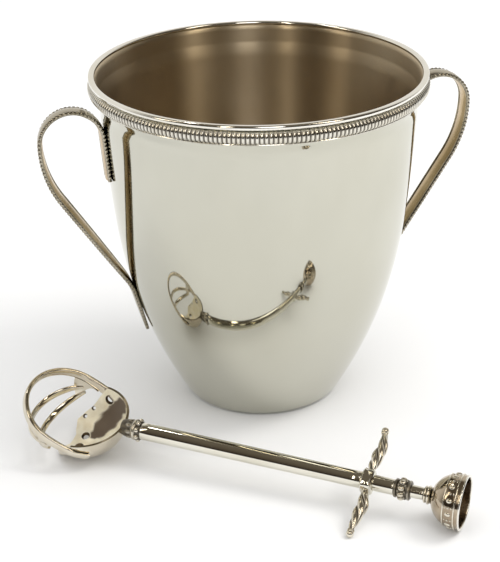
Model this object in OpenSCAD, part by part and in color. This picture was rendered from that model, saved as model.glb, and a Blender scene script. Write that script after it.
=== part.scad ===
// Two-handled champagne bucket with its matching openwork ice scoop, in millimetres.
// The bucket stands on the origin with its handles along X; the scoop lies in front of it.

/* [Bucket] */
// Height from the table to the top of the rim
bucket_h = 214; // [190:1:240]
// Radius of the wall just under the rim
neck_r = 97.5; // [96:0.5:99]
// Thickness of the spun wall
wall_t = 1.3; // [1:0.1:2]
// Radius of the rounded corner between wall and base
base_corner_r = 6; // [4:0.5:9]

/* [Rim] */
// Number of ribs milled round the rim band
rim_ribs = 250; // [120:2:260]
// Height of the milled band
band_h = 6.6; // [5:0.2:8]
// Outer radius of the milled band, on the tops of its ribs
band_r = 104; // [103:0.5:105]

/* [Handles] */
// Width of a handle over its two milled edge wires
handle_w = 14.2; // [12:0.2:18]
// Width and thickness of one milled edge wire
edge_wire = 2.4; // [2:0.1:3]
// Thickness of the plain strap between the edge wires
strap_t = 1.8; // [1.4:0.1:2.2]
// Height of the lower end of the tab that lies on the wall
tab_z = 154; // [146:1:160]
// Height of the handle's outermost point
loop_z = 180; // [174:1:184]
// Height at which the lower leg meets the wall
foot_z = 76; // [68:1:84]
// Lean of the straight lower leg from upright
leg_lean = 33; // [30:1:36]

/* [Scoop] */
// Distance from the guard back to the centre of the bowl
bowl_reach = 189.4; // [150:1:210]
// Outer radius of the bowl
bowl_r = 27.5; // [24:0.5:30]
// Length that the bowl's heel is drawn out towards the shaft
heel_reach = 9.4; // [6:0.2:12]
// Height of the hoop round the open end of the bowl
hoop_h = 5.6; // [4:0.2:6]
// Angle by which the hoop's tip is raised
hoop_pitch = 29; // [24:1:32]
// Outer radius of the measuring cup's mouth
cup_r = 16.2; // [14:0.2:18]
// Outer radius of the shaft tube
shaft_r = 5.1; // [4.6:0.1:5.4]
// Distance from the shaft's axis to the middle of a guard knob
guard_reach = 35; // [33:0.5:40]

/* [Placing] */
// Sideways place of the guard, from the bucket's axis
scoop_x = 14.5; // [-20:1:40]
// Place of the guard in front of the bucket's axis
scoop_y = -166; // [-190:1:-155]
// Direction in which the cup end points
scoop_yaw = -37.3; // [-50:0.1:-20]
// Roll of the bowl away from level
scoop_roll = 14; // [8:1:18]

/* [Hidden] */
$fn = 96;
silver = "#d8d2c4";
shade = "#a89c86";
far = 400;            // longer than anything it cuts
joint_gap = 0.1;      // solder film between pieces that are joined

// Wall of the bucket: two long arcs, then the base corner
neck_z = bucket_h - 19;
upper_arc_r = 1280;
lower_arc_r = 300;
neck_lean = 3.3;      // lean of the wall under the rim
waist_lean = 6.6;     // lean where the two arcs meet
upper_c = [neck_r - upper_arc_r * cos(neck_lean), neck_z + upper_arc_r * sin(neck_lean)];
waist = upper_c + upper_arc_r * [cos(waist_lean), -sin(waist_lean)];
lower_c = waist - lower_arc_r * [cos(waist_lean), -sin(waist_lean)];
base_lean = asin((lower_c[1] - base_corner_r) / (lower_arc_r - base_corner_r));
corner_c = [lower_c[0] + (lower_arc_r - base_corner_r) * cos(base_lean), base_corner_r];
lip_r = neck_r + 2.1; // wall behind the milled band
flange_r = 102.4;     // edge of the turned-out lip that carries the bead
flange_z = bucket_h - 3;
band_z = flange_z - wall_t - band_h;
lower_wire_h = 1.4;

// Points of an arc about c, from angle a0 to a1
function arc(c, r, a0, a1, steps) =
    [for (i = [0:steps]) let (a = a0 + (a1 - a0) * i / steps) c + r * [cos(a), sin(a)]];
function reversed(list) = [for (i = [len(list) - 1:-1:0]) list[i]];
// One side of the wall from the base to the neck, set in by t
function wall_side(t) = concat(
    arc(corner_c, base_corner_r - t, -90, -base_lean, 6),
    arc(lower_c, lower_arc_r - t, -base_lean, -waist_lean, 10),
    arc(upper_c, upper_arc_r - t, -waist_lean, -neck_lean, 3));
// Outer radius of the wall at a height between base and neck
function wall_r(z) = z > waist[1]
    ? upper_c[0] + sqrt(pow(upper_arc_r, 2) - pow(z - upper_c[1], 2))
    : lower_c[0] + sqrt(pow(lower_arc_r, 2) - pow(z - lower_c[1], 2));
// Lean of the wall from upright at a height
function wall_lean(z) = z > waist[1]
    ? asin((upper_c[1] - z) / upper_arc_r)
    : asin((lower_c[1] - z) / lower_arc_r);

// A handle's centreline: pieces of [length, turn], walked from the tab's lower end
wire_half = edge_wire / 2;
leg_bend_r = 68;      // bend from the outermost point into the leg
foot_bend_r = 40;     // bend from the leg onto the wall
tail_l = 29;
tab_lean = wall_lean((tab_z + loop_z) / 2);
tab_start = [wall_r(tab_z) + (wire_half + joint_gap) / cos(tab_lean), tab_z, 90 - tab_lean];
tab_l = loop_z - tab_z + 2;
foot_lean = wall_lean(foot_z);
foot_x = wall_r(foot_z) + (wire_half + joint_gap) / cos(foot_lean);
leg_end = [foot_x + foot_bend_r * (cos(foot_lean) - cos(leg_lean)),
    foot_z + foot_bend_r * (sin(leg_lean) - sin(foot_lean))];
leg_l = (loop_z - leg_bend_r * sin(leg_lean) - leg_end[1]) / cos(leg_lean);
loop_x = leg_end[0] + leg_l * sin(leg_lean) + leg_bend_r * (1 - cos(leg_lean));
loop_start_x = tab_start[0] + tab_l * sin(tab_lean);
loop_r = (loop_x - loop_start_x) / (1 + cos(tab_lean));
loop_turn = 180 - tab_lean;
handle_runs = [[tab_l, 0],
    [loop_r * loop_turn * PI / 180, -loop_turn],
    [leg_bend_r * leg_lean * PI / 180, -leg_lean],
    [leg_l, 0],
    [foot_bend_r * (leg_lean - foot_lean) * PI / 180, leg_lean - foot_lean],
    [tail_l, 0]];
handle_l = tab_l + handle_runs[1][0] + handle_runs[2][0] + leg_l + handle_runs[4][0] + tail_l;
edge_pitch = 2.5;     // spacing of the ribs milled on the edge wires
edge_ribs = floor(handle_l / edge_pitch);
edge_depth = 0.5;

// Point and heading a length s along one run
function run_at(p, run, s) = abs(run[1]) < 0.001
    ? [p[0] + s * cos(p[2]), p[1] + s * sin(p[2]), p[2]]
    : let (k = run[1] * PI / 180 / run[0], h = p[2] + run[1] * s / run[0])
        [p[0] + (sin(h) - sin(p[2])) / k, p[1] - (cos(h) - cos(p[2])) / k, h];
// Point and heading a length s along a chain of runs
function path_at(p, runs, s, i = 0) = (i == len(runs) - 1 || s <= runs[i][0])
    ? run_at(p, runs[i], s)
    : path_at(run_at(p, runs[i], runs[i][0]), runs, s - runs[i][0], i + 1);
// The path's point set out sideways by d
function beside(q, d) = [q[0] - d * sin(q[2]), q[1] + d * cos(q[2])];
// Closed outline of a band along the handle, its half thickness given by a list
function handle_band(steps, halves) = let (
    stops = [for (i = [0:steps]) path_at(tab_start, handle_runs, handle_l * i / steps)],
    n = len(halves))
    concat([for (i = [0:steps]) beside(stops[i], halves[i % n])],
        [for (i = [steps:-1:0]) beside(stops[i], -halves[i % n])]);

// Scoop, in its own frame: X along the shaft to the cup, Z up out of the bowl, guard at 0
bowl_t = 1.5;
bowl_up = 4.6;                    // bowl centre above the shaft's axis
cup_mouth = 57;                   // distance from the guard to the cup's mouth
scoop_tilt = asin(-(bowl_r - bowl_up * cos(scoop_roll) - cup_r) / (bowl_reach - heel_reach + cup_mouth));
lift = 0.1;                       // clearance over the table
// Height of the shaft's axis at the guard, with the cup's mouth on the table
hub_h = cup_r * cos(scoop_tilt) - cup_mouth * sin(scoop_tilt) + lift;
rib_plane_x = -7;                 // ribs leave their roots here
root_end_x = 1;
rib_h = 3.2;
rib_t = 1.6;
heel_edge_x = 12.6;               // heel's free edge at the rim plane
heel_edge_rise = atan(0.6);       // slope of the heel's free edge towards the tip
drain_angles = [-10, 10, -68, 68];
drain_r = 2.4;
small_drain_angles = [-38, 38, -51, 51];
small_drain_r = 1.2;
rod_r = 2;
bore_r = 2.1;                     // running clearance over the tie rod
collar_from = -155;
shaft_from = -141.5;
tube_t = 1.2;
grip_r = 4.7;
stem_r = 3.7;
hub_half = 3.6;
hub_r = 6.3;
knop_from = 16;
knop_l = 9.6;
cup_collar_from = 33.2;
cup_collar_l = 4.2;
cup_from = cup_collar_from + cup_collar_l;
cup_ball_x = cup_mouth - 4.2;     // centre of the cup's round part
cup_t = 1.3;
guard_knob_r = 2.3;
// Turn of the guard on its rod, past the bowl's roll, until its near knob rests on the table
guard_turn = asin((hub_h - guard_knob_r - lift) / guard_reach) - scoop_roll;

// ---------------------------------------------------------------- bucket

module bucket_wall() color(silver) rotate_extrude() polygon(concat(
    [[0, 0]], wall_side(0),
    [[lip_r - 0.7, band_z - lower_wire_h - 2.4], [lip_r, band_z - lower_wire_h],
        [lip_r, flange_z - wall_t], [flange_r, flange_z - wall_t], [flange_r, flange_z],
        [lip_r - wall_t, flange_z], [lip_r - wall_t, band_z - lower_wire_h]],
    reversed(wall_side(wall_t)),
    [[0, wall_t]]));

// Plain rounded bead that finishes the rim
module rim_bead() color(silver) rotate_extrude() {
    bead_r = 1.5;
    inner = 100.9;
    outer = 101.8;
    translate([inner, flange_z + bead_r]) circle(bead_r);
    translate([outer, flange_z + bead_r]) circle(bead_r);
    translate([inner, flange_z]) square([outer - inner, 2 * bead_r]);
}

// Band of fine upright ribs round the rim
module rim_milled_band() color(silver) {
    rib_depth = 0.7;
    rim = [for (i = [0:2 * rim_ribs - 1]) let (a = 180 * i / rim_ribs, r = band_r - (i % 2) * rib_depth)
        r * [cos(a), sin(a)]];
    translate([0, 0, band_z]) linear_extrude(band_h) difference() {
        polygon(rim);
        circle(lip_r + joint_gap, $fn = 200);
    }
}

// Thin plain wire under the milled band
module rim_lower_wire() color(silver) rotate_extrude() {
    half = lower_wire_h / 2;
    middle = 102;
    translate([lip_r + joint_gap, band_z - lower_wire_h]) square([middle - lip_r - joint_gap, lower_wire_h]);
    translate([middle, band_z - half]) circle(half);
}

// A band that follows the handle, between two widths across it
module along_handle(outline, from_y, to_y) translate([0, to_y, 0]) rotate([90, 0, 0])
    linear_extrude(to_y - from_y) polygon(outline);

module handle_strap() {
    half_w = handle_w / 2 - edge_wire;
    along_handle(handle_band(84, [strap_t / 2]), -half_w, half_w);
}

// One milled edge wire; side is -1 in front and 1 behind
module handle_edge(side) {
    inner = handle_w / 2 - edge_wire;
    outer = handle_w / 2;
    from_y = side < 0 ? -outer : inner;
    along_handle(handle_band(2 * edge_ribs, [wire_half, wire_half - edge_depth]), from_y, from_y + edge_wire);
}

module right_handle_strap() color(shade) handle_strap();
module right_handle_front_wire() color(silver) handle_edge(-1);
module right_handle_back_wire() color(silver) handle_edge(1);
module left_handle_strap() color(shade) mirror([1, 0, 0]) handle_strap();
module left_handle_front_wire() color(silver) mirror([1, 0, 0]) handle_edge(-1);
module left_handle_back_wire() color(silver) mirror([1, 0, 0]) handle_edge(1);

// ---------------------------------------------------------------- scoop

// Puts a piece drawn in the scoop's own frame where the scoop lies on the table
module lay() translate([scoop_x, scoop_y, hub_h]) rotate([scoop_roll, -scoop_tilt, scoop_yaw]) children();
// Puts a piece drawn about the bowl's centre into the scoop's frame
module at_bowl() translate([-bowl_reach, 0, bowl_up]) children();
// Stands a piece of revolution along the shaft, from a distance x
module along_shaft(x) translate([x, 0, 0]) rotate([0, 90, 0]) children();

// The bowl's skin: a sphere drawn out towards the shaft by a length
module bowl_body(r, reach) {
    sphere(r);
    translate([reach, 0, 0]) sphere(r);
    rotate([0, 90, 0]) cylinder(r = r, h = reach);
}
module ball_skin(t) difference() {
    sphere(bowl_r);
    sphere(bowl_r - t);
}
// Slab between two heights, tipped about Y, in front of the plane x = to_x
module slab(pitch, low, high) rotate([0, pitch, 0]) translate([-far / 2, -far / 2, low])
    cube([far, far, high - low]);
module in_front_of(x) translate([x - far, -far / 2, -far / 2]) cube([far, far, far]);
module behind(x) translate([x, -far / 2, -far / 2]) cube([far, far, far]);

hoop_half = hoop_h / 2;
// How far the hoop stands out of and into the bowl's skin, and where its ends stop along the shaft
hoop_out = 1.4;
hoop_in = 1;
hoop_end_x = 19.5;
// How far the heel's rim lies under the bowl's middle
rim_drop = 2.1;
upper_rib_pitch = -8.5;
upper_rib_z = -4.6;
lower_rib_pitch = -30;
lower_rib_z = -6.9;

// Everything on the tip side of the heel's slanting free edge
module tip_side(extra) translate([heel_edge_x + extra, 0, 0]) rotate([0, heel_edge_rise, 0]) in_front_of(0);

module bowl_heel() color(silver) lay() at_bowl() difference() {
    bowl_body(bowl_r, heel_reach);
    bowl_body(bowl_r - bowl_t, heel_reach);
    tip_side(0);
    translate([-far / 2, -far / 2, -rim_drop]) cube([far, far, far]);
    for (a = drain_angles) rotate([a, 0, 0]) translate([abs(a) < 30 ? 4.5 : 14, 0, -bowl_r - 2])
        cylinder(r = drain_r, h = 10);
    for (a = small_drain_angles) rotate([a, 0, 0]) translate([abs(a) < 45 ? -0.5 : 4, 0, -bowl_r - 2])
        cylinder(r = small_drain_r, h = 10);
}

// Thick hoop whose ends lap over the outside of the heel
module bowl_hoop() color(silver) lay() at_bowl() intersection() {
    slab(hoop_pitch, -hoop_half, hoop_half);
    union() {
        intersection() {
            difference() {
                sphere(bowl_r + hoop_out);
                sphere(bowl_r - hoop_in);
            }
            tip_side(-joint_gap);
        }
        intersection() {
            difference() {
                bowl_body(bowl_r + hoop_out, heel_reach);
                bowl_body(bowl_r + joint_gap, heel_reach);
            }
            in_front_of(hoop_end_x);
        }
    }
}

module rib(pitch, z) intersection() {
    ball_skin(rib_t);
    translate([0, 0, z]) slab(pitch, -rib_h / 2, rib_h / 2);
    in_front_of(rib_plane_x);
}
module upper_rib() color(silver) lay() at_bowl() rib(upper_rib_pitch, upper_rib_z);
module lower_rib() color(silver) lay() at_bowl() rib(lower_rib_pitch, lower_rib_z);

// Plate soldered under the hoop, from which both ribs fork; side is 1 far and -1 near
module rib_root(side) lay() at_bowl() intersection() {
    ball_skin(rib_t);
    behind(rib_plane_x);
    in_front_of(root_end_x);
    translate([-far / 2, side > 0 ? 0 : -far, -far / 2]) cube([far, far, far]);
    slab(hoop_pitch, -far, -hoop_half);
    translate([0, 0, lower_rib_z]) slab(lower_rib_pitch, -rib_h / 2, far);
}
module far_rib_root() color(silver) rib_root(1);
module near_rib_root() color(silver) rib_root(-1);

// Turned collar with a ring of petals, joining the bowl to the shaft
module head_collar() color(silver) lay() difference() {
    collar_l = shaft_from - collar_from;
    ring_at = 8.3;
    petals = 8;
    union() {
        along_shaft(collar_from) cylinder(r = 5.4, h = ring_at);
        along_shaft(collar_from + ring_at) cylinder(r = 5.9, h = 2);
        along_shaft(collar_from + ring_at + 2) cylinder(r = 5.5, h = collar_l - ring_at - 2);
        for (i = [0:petals - 1]) rotate([360 * i / petals, 0, 0])
            translate([collar_from + ring_at + 3.6, 0, 5.6]) sphere(1.5, $fn = 24);
    }
    at_bowl() bowl_body(bowl_r + joint_gap, heel_reach);
    along_shaft(shaft_from - 8) cylinder(r = bore_r, h = 20);
}

// Threaded rod that holds the shaft, guard, grip and cup together
module tie_rod() color(shade) lay() along_shaft(shaft_from - 7.9)
    cylinder(r = rod_r, h = cup_from + 4 - shaft_from + 7.9);

module tube(from_x, to_x, r) along_shaft(from_x) difference() {
    cylinder(r = r, h = to_x - from_x);
    translate([0, 0, -1]) cylinder(r = r - tube_t, h = to_x - from_x + 2);
}
module shaft_tube() color(silver) lay() tube(shaft_from, -hub_half, shaft_r);
module grip_tube() color(silver) lay() tube(hub_half, knop_from, grip_r);
module neck_tube() color(silver) lay() tube(knop_from + knop_l, cup_collar_from, stem_r);

module guard_hub() color(silver) lay() rotate([guard_turn, 0, 0]) difference() {
    union() {
        translate([-hub_half, -hub_r - 0.8, -hub_r + 1]) cube([2 * hub_half, 2 * hub_r + 1.6, 2 * hub_r - 2]);
        along_shaft(-hub_half) cylinder(r = hub_r, h = 2 * hub_half);
    }
    along_shaft(-hub_half - 1) cylinder(r = bore_r, h = 2 * hub_half + 2);
}

// One arm of the guard: a leaf-shaped arm of overlapping scales with a knob; side is 1 far, -1 near
module quillon(side) rotate([guard_turn, 0, 0]) {
    root = hub_r + 0.9;
    scales = 7;
    arm_l = guard_reach - root;
    rotate([side * -90, 0, 0]) translate([0, 0, root]) {
        rotate_extrude() polygon(concat([[0, 0]],
            [for (i = [0:scales - 1], s = [0, 1]) let (t = (i + s) / scales)
                [1.3 + 2 * sin(180 * pow(t, 0.8)) + (s == 0 ? 0.35 : 0), arm_l * t]],
            [[0, arm_l]]));
        translate([0, 0, arm_l]) sphere(guard_knob_r);
    }
}
module far_quillon() color(silver) lay() quillon(1);
module near_quillon() color(silver) lay() quillon(-1);

// Knop between the two grips: a ball with a ring of beads and end fillets
module grip_knop() color(silver) lay() difference() {
    union() {
        along_shaft(knop_from) cylinder(r = 5.3, h = knop_l);
        along_shaft(knop_from + 1.2) cylinder(r = 5.8, h = knop_l - 2.4);
        beads = 10;
        for (i = [0:beads - 1]) rotate([360 * i / beads, 0, 0])
            translate([knop_from + knop_l / 2, 0, 5.1]) sphere(1.7, $fn = 24);
    }
    along_shaft(knop_from - 1) cylinder(r = bore_r, h = knop_l + 2);
}

module cup_collar() color(silver) lay() along_shaft(cup_collar_from) rotate_extrude() polygon([
    [bore_r, 0], [4.1, 0], [4.9, 0.5], [4.9, 1.4], [4.1, 1.9], [5.5, 2.4], [5.5, 3.4], [4.8, cup_collar_l],
    [bore_r, cup_collar_l]]);

// Measuring cup that forms the pommel, open away from the shaft
module measure_cup() color(silver) lay() difference() {
    union() {
        intersection() {
            translate([cup_ball_x, 0, 0]) sphere(cup_r - 0.6);
            along_shaft(cup_from) cylinder(r = cup_r, h = cup_ball_x - cup_from);
        }
        along_shaft(cup_ball_x) cylinder(r = cup_r - 0.6, h = cup_mouth - cup_ball_x - 1);
    }
    translate([cup_ball_x, 0, 0]) sphere(cup_r - 0.6 - cup_t);
    along_shaft(cup_ball_x) cylinder(r = cup_r - 0.6 - cup_t, h = 20);
    along_shaft(cup_from - 1) cylinder(r = bore_r, h = 20);
}

// Raised band round the cup's round part: two ridges with a ring of leaf bosses between them
module cup_ornament_band() color(silver) lay() {
    bosses = 12;
    cup_outer_r = cup_r - 0.6;
    band_from = cup_ball_x - 6;
    band_l = 5.6;
    boss_from_axis = sqrt(pow(cup_outer_r, 2) - pow(cup_ball_x - band_from - band_l / 2, 2));
    difference() {
        union() {
            intersection() {
                translate([cup_ball_x, 0, 0]) sphere(cup_outer_r + 0.45);
                union() {
                    along_shaft(band_from) cylinder(r = far, h = 0.9);
                    along_shaft(band_from + band_l - 0.9) cylinder(r = far, h = 0.9);
                }
            }
            intersection() {
                translate([cup_ball_x, 0, 0]) sphere(cup_outer_r + 0.25);
                along_shaft(band_from) cylinder(r = far, h = band_l);
            }
            for (i = [0:bosses - 1]) rotate([360 * (i + 0.5) / bosses, 0, 0])
                translate([band_from + band_l / 2, 0, boss_from_axis - 1]) sphere(1.7, $fn = 24);
        }
        translate([cup_ball_x, 0, 0]) sphere(cup_outer_r + joint_gap);
    }
}

module cup_rim_wire() color(silver) lay() along_shaft(cup_mouth - 1) rotate_extrude()
    translate([cup_r - 1, 0]) {
        square([1 - 0.5, 1]);
        translate([0.5, 0.5]) circle(0.5);
        translate([0, 0.5]) circle(0.5);
    }

// Slotted screw head inside the cup that pulls the handle together on the tie rod
module cup_screw() color(shade) lay() {
    head_x = cup_from + 4.1;
    difference() {
        along_shaft(head_x) cylinder(r = 3.6, h = 2);
        translate([head_x + 1.2, -5, -0.5]) cube([3, 10, 1]);
    }
}

bucket_wall();
rim_bead();
rim_milled_band();
rim_lower_wire();
left_handle_strap();
left_handle_front_wire();
left_handle_back_wire();
right_handle_strap();
right_handle_front_wire();
right_handle_back_wire();
bowl_heel();
bowl_hoop();
upper_rib();
lower_rib();
far_rib_root();
near_rib_root();
head_collar();
tie_rod();
shaft_tube();
guard_hub();
far_quillon();
near_quillon();
grip_tube();
grip_knop();
neck_tube();
cup_collar();
measure_cup();
cup_ornament_band();
cup_rim_wire();
cup_screw();
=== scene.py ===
"""Looks of a two-handled champagne bucket and its openwork ice scoop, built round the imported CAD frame.

Sizes are in millimetres until a mesh is made. They follow the CAD model's own values, except that the bowl's
hoop and ribs are stouter here, and the large drain holes a little narrower.
"""
import math

import bmesh
import bpy
from mathutils import Matrix, Vector


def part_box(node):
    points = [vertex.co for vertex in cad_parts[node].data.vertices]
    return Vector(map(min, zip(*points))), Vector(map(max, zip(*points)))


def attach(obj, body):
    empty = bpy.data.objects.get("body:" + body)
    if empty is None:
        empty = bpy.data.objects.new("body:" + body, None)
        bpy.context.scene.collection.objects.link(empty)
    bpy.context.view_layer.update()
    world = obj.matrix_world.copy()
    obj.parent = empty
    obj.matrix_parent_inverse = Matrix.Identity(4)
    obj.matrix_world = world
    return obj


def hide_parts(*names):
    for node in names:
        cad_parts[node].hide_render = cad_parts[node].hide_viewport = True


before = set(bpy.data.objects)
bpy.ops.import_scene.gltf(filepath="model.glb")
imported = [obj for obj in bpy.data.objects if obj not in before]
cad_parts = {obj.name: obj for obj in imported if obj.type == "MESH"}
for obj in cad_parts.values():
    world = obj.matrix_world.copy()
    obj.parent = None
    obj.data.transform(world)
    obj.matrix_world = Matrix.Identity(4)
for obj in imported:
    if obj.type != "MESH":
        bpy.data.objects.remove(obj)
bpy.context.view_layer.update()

MM = 0.001
TAU = 2 * math.pi


def top_of(node):
    """Height of a CAD node's top, in millimetres."""
    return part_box(node)[1].z / MM


def radius_of(node):
    """Largest radius of a CAD node that is round about the bucket's axis, in millimetres."""
    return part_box(node)[1].x / MM


# ---------------------------------------------------------------- camera and stage


def make_camera():
    """The camera, at the photograph's place and angle of view."""
    right = Vector((0.9615, -0.2745, -0.0136)).normalized()
    forward = Vector((0.2418, 0.8686, -0.4325)).normalized()
    up = right.cross(forward).normalized()
    data = bpy.data.cameras.new("camera")
    data.lens = 100.44
    data.sensor_width = 36
    cam = bpy.data.objects.new("camera", data)
    turn = Matrix((right, up, -forward)).transposed()
    cam.matrix_world = Matrix.Translation((-0.2516, -0.8773, 0.5087)) @ turn.to_4x4()
    bpy.context.scene.collection.objects.link(cam)
    bpy.context.scene.camera = cam


def nodes_of(tree):
    """Short ways to add and join shader nodes in a node tree."""

    def add(kind, **values):
        made = tree.nodes.new("ShaderNode" + kind)
        for name, value in values.items():
            setattr(made, name, value)
        return made

    return add, tree.links.new


def ramp(add, link, source, stops):
    """Colour ramp fed by a socket; stops are (place, colour) pairs."""
    made = add("ValToRGB")
    band = made.color_ramp
    while len(band.elements) < len(stops):
        band.elements.new(0.5)
    for element, (place, colour) in zip(band.elements, stops):
        element.position = place
        element.color = (*colour, 1) if hasattr(colour, "__len__") else (colour, colour, colour, 1)
    link(source, made.inputs["Fac"])
    return made.outputs["Color"]


def make_world():
    """White to the camera and a little dimmer to matt surfaces; to glossy ones a warm room with pale walls
    all round, except behind the camera."""
    world = bpy.data.worlds.new("room")
    bpy.context.scene.world = world
    world.use_nodes = True
    tree = world.node_tree
    tree.nodes.clear()
    add, link = nodes_of(tree)
    where = add("TexCoord")
    parts = add("SeparateXYZ")
    link(where.outputs["Generated"], parts.inputs[0])
    height = ramp(add, link, parts.outputs["Z"], [(0.0, 1.0), (0.66, 0.95), (0.82, 0.0)])
    behind = add("MapRange")
    behind.inputs["From Min"].default_value = -0.1
    behind.inputs["From Max"].default_value = 0.5
    link(parts.outputs["Y"], behind.inputs["Value"])
    wall = add("Math", operation="MULTIPLY")
    link(behind.outputs["Result"], wall.inputs[0])
    link(height, wall.inputs[1])
    ceiling = ramp(add, link, parts.outputs["Z"], [
        (0.0, (0.03, 0.023, 0.017)), (0.25, (0.05, 0.04, 0.03)), (0.7, (0.11, 0.09, 0.065)),
        (1.0, (0.14, 0.12, 0.09))])
    room = add("MixRGB", blend_type="MIX")
    link(wall.outputs["Value"], room.inputs["Fac"])
    link(ceiling, room.inputs["Color1"])
    room.inputs["Color2"].default_value = (0.88, 0.86, 0.81, 1)
    path = add("LightPath")
    open_sky = add("MixRGB", blend_type="MIX")
    link(path.outputs["Is Camera Ray"], open_sky.inputs["Fac"])
    open_sky.inputs["Color1"].default_value = (0.95, 0.95, 0.95, 1)
    open_sky.inputs["Color2"].default_value = (1, 1, 1, 1)
    seen = add("MixRGB", blend_type="MIX")
    link(path.outputs["Is Glossy Ray"], seen.inputs["Fac"])
    link(open_sky.outputs["Color"], seen.inputs["Color1"])
    link(room.outputs["Color"], seen.inputs["Color2"])
    back = add("Background")
    link(seen.outputs["Color"], back.inputs["Color"])
    out = add("OutputWorld")
    link(back.outputs["Background"], out.inputs["Surface"])


def softbox(name, azimuth, elevation, distance, width, height, radiance, colour, mirrored):
    """A rectangular softbox that faces the bucket; azimuth 0 is +X and 90 is +Y, in degrees.
    A mirrored one shows in polished surfaces only, any other one lights matt surfaces only."""
    a, e = math.radians(azimuth), math.radians(elevation)
    place = Vector((math.cos(a) * math.cos(e), math.sin(a) * math.cos(e), math.sin(e))) * distance
    data = bpy.data.lights.new(name, "AREA")
    data.shape = "RECTANGLE"
    data.size = width
    data.size_y = height
    data.energy = radiance * math.pi * width * height
    data.color = colour
    lamp = bpy.data.objects.new(name, data)
    lamp.location = place + Vector((0, 0, 0.1))
    lamp.rotation_euler = (-place).to_track_quat("-Z", "Y").to_euler()
    lamp.visible_glossy = mirrored
    lamp.visible_diffuse = not mirrored
    lamp.visible_camera = False
    bpy.context.scene.collection.objects.link(lamp)


def make_lights():
    warm, plain = (1, 0.9, 0.74), (1, 0.98, 0.95)
    softbox("overhead_fill", -60, 70, 2.2, 1.8, 1.8, 0.8, plain, False)
    softbox("key_right", -15, 50, 2.4, 0.8, 0.8, 8, plain, False)
    softbox("ceiling_lamp", 120, 66, 2.0, 0.16, 0.16, 18, plain, True)
    softbox("window_right", -53, 42, 2.4, 0.3, 1.5, 5.5, warm, True)
    softbox("window_front", -97, 44, 2.4, 0.55, 1.5, 3.2, plain, True)
    softbox("window_left", -130, 40, 2.4, 0.14, 1.5, 8.0, warm, True)
    softbox("door_left", -175, 36, 2.4, 0.3, 1.4, 4.0, warm, True)


def make_floor():
    data = bpy.data.meshes.new("floor")
    half = 3.0
    corners = [(-half, -half, 0), (half, -half, 0), (half, half, 0), (-half, half, 0)]
    data.from_pydata(corners, [], [(0, 1, 2, 3)])
    floor = bpy.data.objects.new("floor", data)
    bpy.context.scene.collection.objects.link(floor)
    made = bpy.data.materials.new("paper_floor")
    made.use_nodes = True
    shader = made.node_tree.nodes["Principled BSDF"]
    add, link = nodes_of(made.node_tree)
    where = add("TexCoord")
    speckle = add("TexNoise")
    speckle.inputs["Scale"].default_value = 6
    link(where.outputs["Object"], speckle.inputs["Vector"])
    link(ramp(add, link, speckle.outputs["Fac"], [(0.3, 0.9), (0.7, 0.93)]), shader.inputs["Base Color"])
    shader.inputs["Roughness"].default_value = 1
    shader.inputs["Specular IOR Level"].default_value = 0
    data.materials.append(made)


# ---------------------------------------------------------------- materials


def metal(name, bright, dull, rough, rough_worn, speck, wave, scratch, groove=None, anisotropic=0.0,
          brushed=False, metallic=1.0):
    """A plated metal. bright and dull are the two tones of its random tarnishing, rough and rough_worn its
    gloss range, speck the tarnishing's scale per metre, wave and scratch the depths of its waviness and
    scratches, groove the colour that the mesh's own recess attribute darkens to, which paints shade into
    grooves and hollows and a dark reflection into the heel, and metallic below 1 a matt layer in which the
    base colour shows."""
    made = bpy.data.materials.new(name)
    made.use_nodes = True
    tree = made.node_tree
    shader = tree.nodes["Principled BSDF"]
    shader.inputs["Metallic"].default_value = metallic
    shader.inputs["Anisotropic"].default_value = anisotropic
    shader.inputs["Anisotropic Rotation"].default_value = 0.25 if brushed else 0.0
    add, link = nodes_of(tree)
    where = add("TexCoord").outputs["Object"]

    def noise(scale, detail, stretch=(1, 1, 1)):
        fit = add("Mapping")
        fit.inputs["Scale"].default_value = stretch
        link(where, fit.inputs["Vector"])
        tex = add("TexNoise")
        tex.inputs["Scale"].default_value = scale
        tex.inputs["Detail"].default_value = detail
        link(fit.outputs["Vector"], tex.inputs["Vector"])
        return tex.outputs["Fac"]

    # Random tarnishing tone over the whole part.
    tarnish_and_painted_reflection = noise(speck, 5)
    colour = ramp(add, link, tarnish_and_painted_reflection, [(0.35, dull), (0.62, bright)])
    gloss = ramp(add, link, noise(speck * 2.3, 4), [(0.35, rough), (0.7, rough_worn)])
    # Painted shade: the recess attribute darkens the colour toward groove, and dulls the gloss, in grooves
    # and hollows; in the heel it paints a dark reflection.
    if groove is not None:
        depth = add("Attribute", attribute_name="recess").outputs["Fac"]
        shade = add("MixRGB", blend_type="MIX")
        link(depth, shade.inputs["Fac"])
        link(colour, shade.inputs["Color1"])
        shade.inputs["Color2"].default_value = (*groove, 1)
        colour = shade.outputs["Color"]
        matt = add("MixRGB", blend_type="MIX")
        link(depth, matt.inputs["Fac"])
        link(gloss, matt.inputs["Color1"])
        matt.inputs["Color2"].default_value = (0.45, 0.45, 0.45, 1)
        gloss = matt.outputs["Color"]
    link(colour, shader.inputs["Base Color"])
    link(gloss, shader.inputs["Roughness"])
    wavy = add("Bump")
    wavy.inputs["Strength"].default_value = 1
    wavy.inputs["Distance"].default_value = wave
    link(noise(22, 1), wavy.inputs["Height"])
    fine = add("Bump")
    fine.inputs["Strength"].default_value = 1
    fine.inputs["Distance"].default_value = scratch
    grain = noise(900, 2, (0.03, 0.03, 1)) if brushed else noise(520, 3, (1, 0.14, 0.6))
    link(grain, fine.inputs["Height"])
    link(wavy.outputs["Normal"], fine.inputs["Normal"])
    link(fine.outputs["Normal"], shader.inputs["Normal"])
    if anisotropic:
        round_z = add("Tangent", direction_type="RADIAL", axis="Z")
        link(round_z.outputs["Tangent"], shader.inputs["Tangent"])
    return made


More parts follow.
